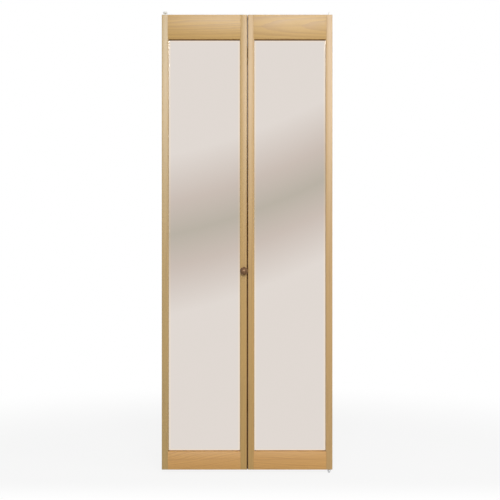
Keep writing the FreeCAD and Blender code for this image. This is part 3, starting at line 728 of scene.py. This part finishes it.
def wood(name, grain, middle, pith, lean, ring_width, tint=WHITE, early=PINE_EARLY,
         late=PINE_LATE, figure=1.0, varnish=STILE_VARNISH, specular=0.5, shaded_bare_face=None,
         painted_shade_strength=0.0, worn_edge=None):
    """Sawn board whose growth rings run round a pith line.

    Grain is the axis along the board and middle a point in it. Pith is the distance from there to
    the pith line across the face and into the board, and lean is how far that line moves for each
    metre of length. Figure is the strength of the rings and streaks.
    The shaded bare face, given by the direction that it looks in, has no varnish and is darkened by
    painted shade of the given strength. The gap shade edge, given by its place on the X axis, is a
    strip of the same painted shade without varnish. On an upright board both fade towards the top.
    """
    shader = new_shader(name)
    x, y, z = shader.split(shader.place)
    offsets = [shader.math("SUBTRACT", part, start) for part, start in zip((x, y, z), middle)]
    along, depth, across = offsets if grain == "X" else reversed(offsets)
    board = shader.join(along, across, depth)

    # The rings wander slowly along the trunk and more quickly across it.
    slow = shader.noise(board, RING_WANDER_SCALE)
    quick = shader.noise(board, RING_FLUTTER_SCALE, 3.0)
    wander = shader.math("MULTIPLY_ADD", slow, RING_WANDER, -RING_WANDER / 2)
    flutter = shader.math("MULTIPLY_ADD", quick, RING_FLUTTER, -RING_FLUTTER / 2)
    pith_across = shader.math("MULTIPLY_ADD", along, lean[0], pith[0])
    pith_depth = shader.math("MULTIPLY_ADD", along, lean[1], pith[1])
    radius = shader.root_of_squares(
        shader.math("ADD", shader.math("SUBTRACT", across, pith_across), wander),
        shader.math("ADD", shader.math("SUBTRACT", depth, pith_depth), flutter))
    ring = shader.math("DIVIDE", radius, ring_width)
    years = shader.noise(shader.join(ring), YEAR_SCALE, 1.0)
    phase = shader.math("FRACT", shader.math("MULTIPLY_ADD", years, YEAR_SHIFT, ring))
    rise = shader.spread(phase, *LATEWOOD_RISE, smooth=True)
    fall = shader.spread(phase, *LATEWOOD_FALL, 1.0, 0.0, smooth=True)
    latewood = shader.math("MULTIPLY", rise, fall)

    fibres = shader.noise(board, FIBRE_SCALE, 3.0, 0.6)
    flecks = shader.noise(board, FLECK_SCALE, 1.0)
    streaks = shader.spread(shader.noise(board, STREAK_SCALE), 0.56, 0.74)
    patches = shader.noise(board, PATCH_SCALE)

    pale, dark, streak = (tinted(colour, tint) for colour in (early, late, PINE_STREAK))
    colour = shader.mix(shader.math("MULTIPLY", latewood, 0.62 * figure), pale, dark)
    colour = shader.mix(shader.math("MULTIPLY", streaks, 0.34 * figure), colour, streak)
    colour = shader.mix(shader.spread(fibres, 0.35, 0.70, 0.0, 0.22), colour, dark)
    colour = shader.mix(shader.spread(flecks, 0.66, 0.74, 0.0, 0.30), colour, streak)
    aged = shader.spread(patches, 0.3, 0.7, 0.0, 0.16)
    colour = shader.mix(aged, colour, tinted(early, AGED_TINT))
    duller = shader.math("MULTIPLY_ADD", latewood, -0.4, fibres)
    roughness = shader.spread(duller, 0.1, 0.8, 0.40, 0.56)
    relief = shader.math("MULTIPLY_ADD", latewood, 0.5, shader.math("MULTIPLY", fibres, 0.35))
    # Painted shade: the face that looks one way, and on the leading meeting stile a strip along the
    # fold, are darkened and lose their varnish
    if shaded_bare_face:
        bare_and_shaded = shader.spread(shader.facing(shaded_bare_face), 0.30, 0.75)
        if worn_edge is not None:
            # Painted shade of the fold gap, in a strip on the face along the leaf's edge
            from_edge = shader.math("ABSOLUTE", shader.math("SUBTRACT", x, worn_edge))
            worn = shader.spread(from_edge, GAP_SHADE_WIDTH * 0.4, GAP_SHADE_WIDTH, 0.85, 0.0)
            bare_and_shaded = shader.math("MAXIMUM", bare_and_shaded, worn)
        # On upright boards the painted shade fades towards the top
        if grain == "Z":
            shade_fade_end = SHADE_FULL_BELOW + SHADE_FADE
            shade_by_height = shader.spread(z, SHADE_FULL_BELOW, shade_fade_end, 1.0, 0.3, smooth=True)
            bare_and_shaded = shader.math("MULTIPLY", bare_and_shaded, shade_by_height)
        colour = shader.mix(shader.math("MULTIPLY", bare_and_shaded, painted_shade_strength), colour, PAINTED_SHADE_WOOD)
        varnish = shader.spread(bare_and_shaded, 0.0, 1.0, varnish, 0.0)
        roughness = shader.math("MAXIMUM", roughness, shader.math("MULTIPLY", bare_and_shaded, 0.9))
    return shader.principled(
        Base_Color=colour, Roughness=roughness, Normal=shader.bump(relief, WOOD_RELIEF),
        Coat_Weight=varnish, Coat_Roughness=0.40, Coat_IOR=1.5, Specular_IOR_Level=specular)


def mirror_glass(node):
    """Silvered pane, faintly clouded, with painted reflection of the frame on its border and paint
    on its other sides.
    """
    low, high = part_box(node)
    shader = new_shader(node + "_glass")
    x, _, z = shader.split(shader.place)

    def inside(value, start, end):
        return shader.math("MINIMUM", shader.math("SUBTRACT", value, start),
                           shader.math("SUBTRACT", end, value))

    from_edge = shader.math("MINIMUM", inside(x, low.x, high.x), inside(z, low.z, high.z))
    # Painted reflection of the wooden frame: a warmer colour within the border of the pane
    reflected_wood = shader.spread(from_edge, REFLECTED_WOOD_BORDER * 0.8, REFLECTED_WOOD_BORDER, 1.0, 0.0, smooth=True)
    clouds = shader.spread(shader.noise(shader.place, 3.0, 3.0), 0.3, 0.7, 0.0, 0.35)
    silver = shader.mix(clouds, MIRROR_TINT, tinted(MIRROR_TINT, MIRROR_CLOUD_TINT))
    silver = shader.mix(reflected_wood, silver, MIRROR_REFLECTED_WOOD_TINT)
    paint = shader.mix(shader.noise(shader.place, 220.0), *MIRROR_PAINT)
    painted = shader.math("GREATER_THAN", shader.facing((0.0, 1.0, 0.0)), -0.5)
    dust = shader.spread(shader.noise(shader.place, 900.0, 1.0), 0.3, 0.8, 0.004, 0.014)
    return shader.principled(
        Base_Color=shader.mix(painted, silver, paint),
        Metallic=shader.math("SUBTRACT", 1.0, painted),
        Roughness=shader.math("MULTIPLY_ADD", painted, 0.5, dust))


def hardboard():
    """Pressed fibre board with a screen-patterned back."""
    shader = new_shader("hardboard")
    x, _, z = shader.split(shader.place)
    waves = [shader.math("SINE", shader.math("MULTIPLY", part, SCREEN_WAVES)) for part in (x, z)]
    screen = shader.math("MULTIPLY", *waves)
    fibres = shader.noise(shader.place, (620.0, 620.0, 341.0), 4.0, 0.65)
    clumps = shader.noise(shader.place, 46.0, 4.0, 0.6)
    colour = shader.mix(shader.spread(fibres, 0.32, 0.68), *HARDBOARD)
    colour = shader.mix(shader.spread(clumps, 0.3, 0.7, 0.0, 0.45), colour, HARDBOARD_CLUMP)
    relief = shader.math("MULTIPLY_ADD", screen, 0.25, fibres)
    return shader.principled(
        Base_Color=colour, Roughness=shader.spread(fibres, 0.3, 0.7, 0.62, 0.86),
        Normal=shader.bump(relief, 0.2 * MM, 0.8))


def foam_tape():
    """Grey foam with open pores."""
    shader = new_shader("foam_tape")
    pores = shader.cells(shader.place, 2600.0)
    return shader.principled(
        Base_Color=shader.mix(shader.spread(pores, 0.1, 0.5), *FOAM),
        Roughness=shader.spread(pores, 0.0, 0.6, 0.9, 0.75),
        Normal=shader.bump(pores, 0.2 * MM))


def bronze(middle):
    """Brown oxidised finish, rubbed lighter on the crown and rim, with fine turning marks."""
    shader = new_shader("aged_bronze")
    x, _, z = shader.split(shader.place)
    radius = shader.root_of_squares(shader.math("SUBTRACT", x, middle.x),
                                    shader.math("SUBTRACT", z, middle.z))
    patina = shader.noise(shader.place, 190.0, 4.0, 0.6)
    speckle = shader.noise(shader.place, 1500.0)
    turning = shader.noise(shader.join(shader.math("MULTIPLY", radius, TURNING_SCALE)), 1.0)
    rim = shader.spread(radius, *RUBBED_RIM, smooth=True)
    crown = shader.spread(radius, 0.0, RUBBED_CROWN, 1.0, 0.0, smooth=True)
    rubbed = shader.math("MULTIPLY", shader.math("MAXIMUM", rim, crown),
                         shader.spread(patina, 0.42, 0.62))
    colour = shader.mix(shader.spread(patina, 0.3, 0.7), *BRONZE)
    colour = shader.mix(shader.spread(speckle, 0.55, 0.75, 0.0, 0.5), colour, BRONZE_SPECKLE)
    colour = shader.mix(shader.math("MULTIPLY", rubbed, 0.55), colour, BRONZE_RUBBED)
    return shader.principled(
        Base_Color=colour, Metallic=0.45,
        Roughness=shader.spread(shader.math("ADD", patina, speckle), 0.7, 1.3, 0.34, 0.52),
        Normal=shader.bump(turning, 0.02 * MM, 0.7))


def rolled_steel(name, dark, pale, grain, roughness):
    """Plated or bright steel with the fine parallel marks of rolling, along X, Y or Z."""
    shader = new_shader(name)
    stretch = tuple(ROLLED_ALONG if axis == grain else ROLLED_ACROSS for axis in "XYZ")
    marks = shader.noise(shader.place, stretch, 3.0, 0.6)
    bloom = shader.noise(shader.place, 120.0, 3.0)
    stains = shader.spread(shader.noise(shader.place, 420.0), 0.62, 0.75, 0.0, 0.4)
    colour = shader.mix(shader.spread(marks, 0.3, 0.7), dark, pale)
    bloomed = shader.spread(bloom, 0.45, 0.75, 0.0, 0.35)
    colour = shader.mix(bloomed, colour, tinted(pale, STEEL_BLOOM_TINT))
    sheen = shader.math("ADD", marks, bloom)
    return shader.principled(
        Base_Color=shader.mix(stains, colour, dark), Metallic=1.0,
        Roughness=shader.spread(sheen, 0.6, 1.4, roughness - 0.08, roughness + 0.12),
        Normal=shader.bump(marks, 0.02 * MM, 0.6))


def nylon():
    """Natural moulded nylon, slightly mottled and a little waxy."""
    shader = new_shader("moulded_nylon")
    clouds = shader.noise(shader.place, 150.0, 3.0)
    grit = shader.noise(shader.place, 2600.0)
    return shader.principled(
        Base_Color=shader.mix(shader.spread(clouds, 0.3, 0.7), *NYLON),
        Roughness=shader.spread(grit, 0.3, 0.7, 0.36, 0.50),
        Subsurface_Weight=0.15, Subsurface_Radius=NYLON_DEPTH,
        Normal=shader.bump(grit, 0.03 * MM))


# ---------------------------------------------------------------- assembly

LEAF_SIDES = {
    "lead_leaf": ("lead_leaf_outer_stile", "lead_leaf_meeting_stile"),
    "pivot_leaf": ("pivot_leaf_meeting_stile", "pivot_leaf_outer_stile"),
}
SLEEVES = {
    "lead_leaf_outer_stile": ("guide_sleeve",),
    "pivot_leaf_outer_stile": ("top_pivot_sleeve", "bottom_pivot_sleeve"),
}
SPRINGS = {"guide_spring": "guide_pin", "top_pivot_spring": "top_pivot_pin"}

# Boards: pith distance across and into the board, its lean, ring width and tint
BOARDS = {
    "lead_leaf_outer_stile": ((0.055, 0.020), (0.004, 0.0), 2.6 * MM, (0.86, 0.94, 1.12)),
    "lead_leaf_meeting_stile": ((-0.060, 0.035), (-0.005, 0.002), 3.0 * MM, (0.96, 0.97, 0.98)),
    "pivot_leaf_meeting_stile": ((0.048, 0.030), (0.006, 0.0), 2.8 * MM, (0.95, 0.94, 0.98)),
    "pivot_leaf_outer_stile": ((-0.052, 0.024), (0.003, 0.003), 3.2 * MM, (1.03, 1.05, 1.42)),
    "lead_leaf_top_rail": ((-0.085, 0.060), (0.03, 0.01), 7.5 * MM, (1.0, 0.98, 0.92)),
    "pivot_leaf_top_rail": ((0.006, 0.050), (0.00, -0.04), 9.0 * MM, (1.03, 1.03, 1.12)),
    "lead_leaf_bottom_rail": ((0.075, 0.040), (0.14, 0.02), 5.0 * MM, (1.23, 1.08, 1.12)),
    "pivot_leaf_bottom_rail": ((-0.080, 0.045), (-0.04, 0.02), 5.0 * MM, (1.23, 1.08, 1.12)),
}
# Faces without varnish that are darkened by painted shade of the given strength: the faces in the
# fold gap, the undersides of the top rails' mouldings and, lightly, the tops of the bottom rails'
# ledges
SHADED_BARE_FACES = {
    "lead_leaf_meeting_stile": {"shaded_bare_face": (1, 0, 0), "painted_shade_strength": 0.9, "specular": 0.4},
    "pivot_leaf_meeting_stile": {"shaded_bare_face": (-1, 0, 0), "painted_shade_strength": 0.9, "specular": 0.4},
    "lead_leaf_top_rail": {"shaded_bare_face": (0, 0, -1), "painted_shade_strength": 0.7},
    "pivot_leaf_top_rail": {"shaded_bare_face": (0, 0, -1), "painted_shade_strength": 0.7},
    "lead_leaf_bottom_rail": {"shaded_bare_face": (0, 0, 1), "painted_shade_strength": 0.2},
    "pivot_leaf_bottom_rail": {"shaded_bare_face": (0, 0, 1), "painted_shade_strength": 0.2},
}
STOPS = ("outer_stop", "meeting_stop", "top_stop", "bottom_stop")
STOP_PITH_ACROSS = 0.03         # of a leaf's first stop
STOP_PITH_STEP = 0.011          # further across for each next one
STOP_PITH_DEPTH = -0.04
STOP_LEAN = (0.01, 0.004)
STOP_RING_WIDTH = 2.4 * MM
DOWEL_BOARD = ((0.02, 0.03), (0.0, 0.0), 1.6 * MM)
DOWEL_FIGURE = 0.4

# Steels: dark and pale colour, direction of rolling and roughness
STEELS = {
    "hinge_steel": ((0.40, 0.39, 0.37), (0.60, 0.59, 0.57), "Z", 0.34),
    "zinc_steel": ((0.48, 0.49, 0.51), (0.66, 0.67, 0.69), "Z", 0.30),
    "spring_steel": ((0.26, 0.26, 0.28), (0.42, 0.41, 0.41), "Y", 0.28),
}
EASED_SLOTS = ("hinge_steel", "zinc_steel", "nylon")


def frame_member(node, piece):
    """Eases a member, bores it for its sleeves and gives it its own board of pine."""
    ease_arrises(piece, EASED_WOOD)
    for sleeve in SLEEVES.get(node, ()):
        combined(piece, sleeve_bore(sleeve), "DIFFERENCE")
    grain, varnish = ("X", RAIL_VARNISH) if node.endswith("rail") else ("Z", STILE_VARNISH)
    looks = dict(SHADED_BARE_FACES.get(node, {}))
    # The leading meeting stile also gets a strip of painted shade on its face along the fold
    if node == "lead_leaf_meeting_stile":
        outer_x, slope, _, _ = stile_outline(node)
        looks["worn_edge"] = outer_x + slope * front_y
    material = wood(node + "_pine", grain, middle_of(node), *BOARDS[node],
                    varnish=varnish, **looks)
    finish_piece(piece, material, node)


def leaf(name):
    """Frame members and stops of one leaf."""
    low_stile, high_stile = LEAF_SIDES[name]
    for node in (low_stile, high_stile):
        frame_member(node, stile(node))
    for place in ("top_rail", "bottom_rail"):
        node = f"{name}_{place}"
        frame_member(node, rail(node, low_stile, high_stile))
    for number, place in enumerate(STOPS):
        node = f"{name}_{place}"
        piece = stop(node)
        ease_arrises(piece, EASED_WOOD)
        grain = "X" if place in ("top_stop", "bottom_stop") else "Z"
        pith = (STOP_PITH_ACROSS + STOP_PITH_STEP * number, STOP_PITH_DEPTH)
        material = wood(node + "_pine", grain, middle_of(node), pith, STOP_LEAN, STOP_RING_WIDTH)
        finish_piece(piece, material, node)


def hardware():
    """New pieces for the hardware, and materials for the nodes that stay."""
    finishes = {name: rolled_steel(name, *look) for name, look in STEELS.items()}
    finishes.update(hardboard=hardboard(), foam_tape=foam_tape(), nylon=nylon())
    finish_piece(knob(), bronze(middle_of("knob")), "knob")
    finish_piece(threaded_pin(), finishes["zinc_steel"], "bottom_pivot_pin")
    for node, pin in SPRINGS.items():
        finish_piece(spring(node), finishes["spring_steel"], node, top_node=pin)
    for node, slot in slots.items():
        if node == "bottom_pivot_pin" or node in SPRINGS:
            continue
        if slot in EASED_SLOTS and not node.endswith("brads"):
            finish_piece(eased_copy(node), finishes[slot], node)
        elif slot in finishes:
            dress(frame["nodes"][node], finishes[slot])
        elif slot == "mirror":
            dress(frame["nodes"][node], mirror_glass(node))
        elif slot == "beech":
            material = wood(node + "_beech", "X", middle_of(node), *DOWEL_BOARD,
                            early=BEECH_EARLY, late=BEECH_LATE, figure=DOWEL_FIGURE)
            dress(frame["nodes"][node], material)


# ---------------------------------------------------------------- stage, light and camera

FLOOR_RADIUS = 8.0
FLOOR_SEGMENTS = 128
FLOOR_WHITENESS = 0.85          # share of plain white near the door, as it is seen
WHITE_AHEAD = (0.15, 0.55)      # in front of the door, over which the floor turns plain white
WHITE_AROUND = (1.2, 3.0)       # the same, from the door's middle

# Strength of the light from around, by the side that it comes from
AMBIENT_FRONT = 0.27
AMBIENT_BACK = 1.15
AMBIENT_ABOVE = 0.26            # more than from the side
AMBIENT_BELOW = 0.08

# Darker band in what the mirrors reflect, by how far a ray rises and goes right for each metre
# into the room
BAND_HEIGHT = 0.0369
BAND_SLOPE = 0.3619
BAND_BEND = 0.9986
BAND_HALF_WIDTH = 0.0780
BAND_COLOUR = (0.653, 0.641, 0.585)
BAND_FLANK = 0.6                # share of the way to its middle at which it has its flank colour
BAND_FLANK_COLOUR = (0.790, 0.742, 0.710)
BAND_END = (-0.10, -0.05)       # Y of the rays between which it fades, towards the closet
FORWARD_LEAST = 0.01            # keeps the division finite for rays that go sideways or back

# Lamps: place and target from the middle of the door's foot, width, height and watts
LAMPS = {
    "key": ((0.6, -9.0, 4.6), (0.0, 0.0, 1.0), 5.0, 1.2, 460.0),
    "top": ((0.9, -2.6, 3.4), (0.0, 0.0, 1.6), 2.0, 0.7, 9.0),
    "side": ((2.8, -1.5, 1.7), (0.0, 0.0, 1.1), 0.8, 2.4, 15.0),
    "high_side": ((2.2, -1.7, 3.3), (0.0, 0.0, 0.9), 0.5, 0.5, 5.0),
}
UNREFLECTED_LAMP = "side"       # it would stand in the mirrors, seen from the left


def floor():
    """Round pale floor that is seen as white, except where the door's shadow falls."""
    mesh = bmesh.new()
    bmesh.ops.create_circle(mesh, cap_ends=True, segments=FLOOR_SEGMENTS, radius=FLOOR_RADIUS)
    bmesh.ops.translate(mesh, verts=mesh.verts, vec=(centre_x, 0, cad_low.z))
    disc = new_piece("floor", mesh)
    shader = new_shader("floor_white")
    paper = shader.mix(shader.noise(shader.place, 3.0, 3.0), *FLOOR_PAPER)
    rays = shader.add("ShaderNodeLightPath").outputs
    mirrored = shader.math("MAXIMUM", rays["Is Glossy Ray"], rays["Is Transmission Ray"])
    seen = shader.math("MAXIMUM", rays["Is Camera Ray"], mirrored)
    x, y, _ = shader.split(shader.place)
    around = shader.root_of_squares(shader.math("SUBTRACT", x, centre_x), y)
    far = shader.math("MAXIMUM",
                      shader.spread(shader.math("MULTIPLY", y, -1.0), *WHITE_AHEAD, smooth=True),
                      shader.spread(around, *WHITE_AROUND, smooth=True))
    whiteness = shader.math("MULTIPLY_ADD", far, 1.0 - FLOOR_WHITENESS, FLOOR_WHITENESS)
    share = shader.math("MULTIPLY", seen, whiteness)
    lit = shader.add("ShaderNodeBsdfDiffuse", [("Color", paper), ("Roughness", 0.5)]).outputs[0]
    white = shader.add("ShaderNodeEmission", [("Color", WHITE), ("Strength", 1.0)]).outputs[0]
    both = shader.add("ShaderNodeMixShader", [(0, share), (1, lit), (2, white)]).outputs[0]
    shader.add("ShaderNodeOutputMaterial", [("Surface", both)])
    dress(disc, shader.owner)


def world():
    """White surroundings. What the mirrors show of them has one soft, slanting, darker band."""
    shader = Shader(bpy.data.worlds.new("studio"))
    bpy.context.scene.world = shader.owner
    x, y, z = shader.split(shader.coordinates["Generated"])
    forward = shader.math("MAXIMUM", shader.math("MULTIPLY", y, -1.0), FORWARD_LEAST)
    side = shader.math("DIVIDE", x, forward)
    up = shader.math("DIVIDE", z, forward)
    slope = shader.math("MULTIPLY_ADD", side, BAND_BEND, BAND_SLOPE)
    curve = shader.math("MULTIPLY_ADD", slope, side, BAND_HEIGHT)
    away = shader.math("ABSOLUTE", shader.math("SUBTRACT", up, curve))
    band = shader.math("MULTIPLY", shader.spread(away, 0.0, BAND_HALF_WIDTH, 1.0, 0.0),
                       shader.spread(y, *BAND_END, 1.0, 0.0))
    reflected = shader.mix(shader.spread(band, 0.0, BAND_FLANK), WHITE, BAND_FLANK_COLOUR)
    reflected = shader.mix(shader.spread(band, BAND_FLANK, 1.0), reflected, BAND_COLOUR)
    level = shader.spread(y, 0.0, 1.0, AMBIENT_FRONT, AMBIENT_BACK)
    level = shader.math("ADD", level, shader.spread(z, 0.0, 1.0, 0.0, AMBIENT_ABOVE))
    less_below = shader.spread(z, -1.0, 0.0, AMBIENT_FRONT - AMBIENT_BELOW, 0.0)
    level = shader.math("MAXIMUM", shader.math("SUBTRACT", level, less_below), AMBIENT_BELOW)
    rays = shader.add("ShaderNodeLightPath").outputs
    seen = shader.math("MAXIMUM", rays["Is Camera Ray"], rays["Is Transmission Ray"])
    room = shader.mix(rays["Is Glossy Ray"], shader.join(level, level, level), reflected)
    colour = shader.mix(seen, room, WHITE)
    background = shader.add("ShaderNodeBackground", [("Color", colour), ("Strength", 1.0)])
    shader.add("ShaderNodeOutputWorld", [("Surface", background.outputs[0])])


def softbox(name, place, target, width, height, watts):
    """Rectangular lamp at a place, aimed at a target."""
    data = bpy.data.lights.new(name, "AREA")
    data.shape = "RECTANGLE"
    data.size, data.size_y = width, height
    data.energy = watts
    light = bpy.data.objects.new(name, data)
    bpy.context.scene.collection.objects.link(light)
    light.location = (centre_x + place[0], place[1], place[2])
    aim = Vector((centre_x + target[0], target[1], target[2])) - Vector(light.location)
    light.rotation_euler = aim.to_track_quat("-Z", "Y").to_euler()
    light.visible_glossy = name != UNREFLECTED_LAMP


def camera():
    """Camera square to the door, at the photograph's framing."""
    data = bpy.data.cameras.new("camera")
    data.sensor_width = SENSOR_WIDTH
    data.lens = SENSOR_WIDTH * CAMERA_DISTANCE / (PICTURE_PIXELS * METRES_PER_PIXEL)
    item = bpy.data.objects.new("camera", data)
    bpy.context.scene.collection.objects.link(item)
    middle_z = (bottom_z + top_z) / 2
    item.location = (centre_x + CAMERA_RIGHT, front_y - CAMERA_DISTANCE, middle_z - CAMERA_BELOW)
    item.rotation_euler = (math.pi / 2, 0.0, 0.0)
    bpy.context.scene.camera = item


for leaf_name in LEAF_SIDES:
    leaf(leaf_name)
hardware()
floor()
world()
for lamp_name, lamp in LAMPS.items():
    softbox(lamp_name, *lamp)
camera()
bpy.context.scene.view_settings.view_transform = "Standard"
